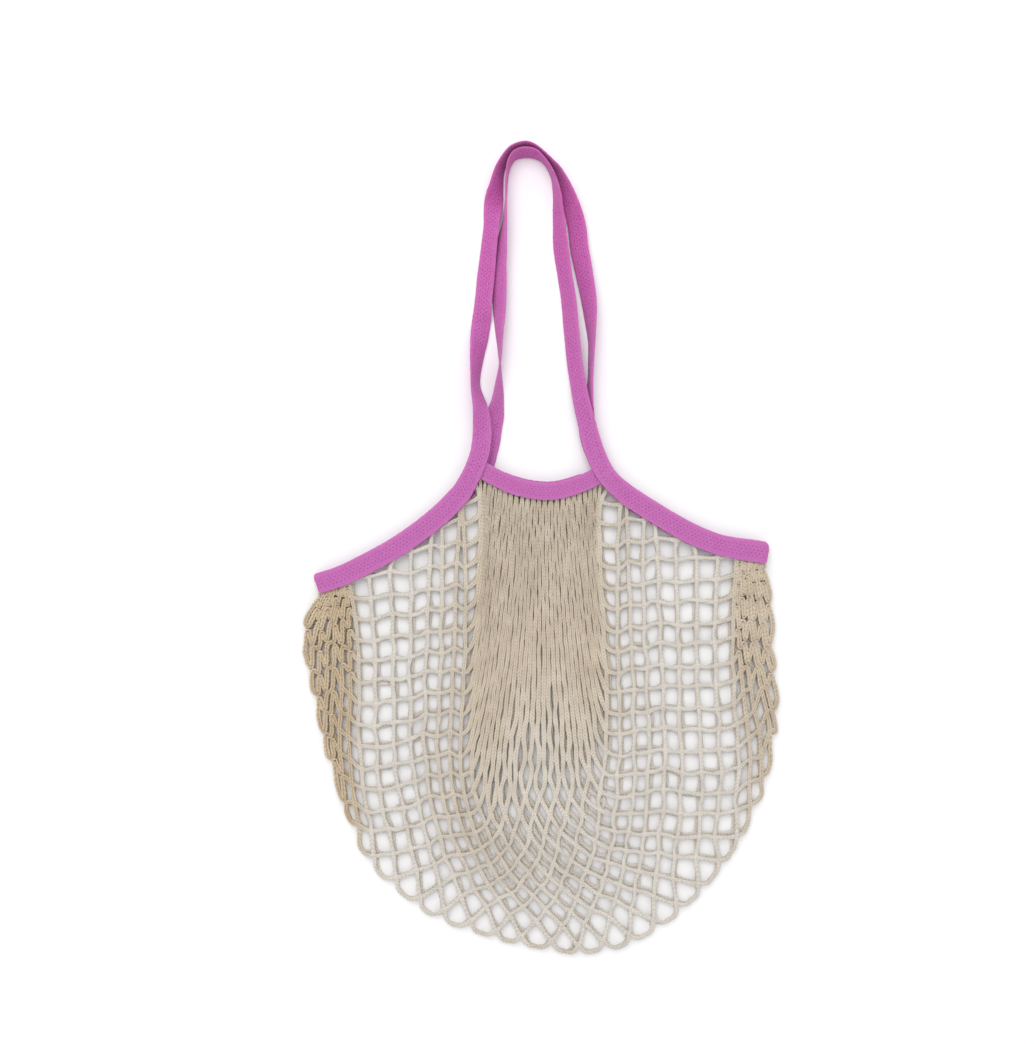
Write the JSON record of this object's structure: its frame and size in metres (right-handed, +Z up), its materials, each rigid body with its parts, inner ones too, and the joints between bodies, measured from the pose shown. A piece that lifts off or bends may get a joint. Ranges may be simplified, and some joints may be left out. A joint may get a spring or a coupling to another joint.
{
  "type": "mesh shopping bag",
  "caption": "Mesh shopping bag of knotless ecru cotton net with long orchid tape handles, laid flat with its mouth and handles away from the viewer.",
  "frame": {"origin": "on the surface that the bag lies on, under the middle of its outline", "axes": "+X to the bag's right as seen from above, +Y from the bag's bottom to the top of its handles, +Z up from the surface"},
  "size_m": [0.401, 0.6853, 0.0201],
  "materials": {
    "cotton_net": "soft twisted cotton yarn, undyed",
    "orchid_tape": "plain woven cotton tape, sewn double"
  },
  "bodies": {
    "root": {"net_body": "cotton_net", "handle_tape_outer": "orchid_tape", "handle_tape_inner": "orchid_tape", "mouth_band_front": "orchid_tape", "mouth_band_back": "orchid_tape"}
  },
  "joints": []
}
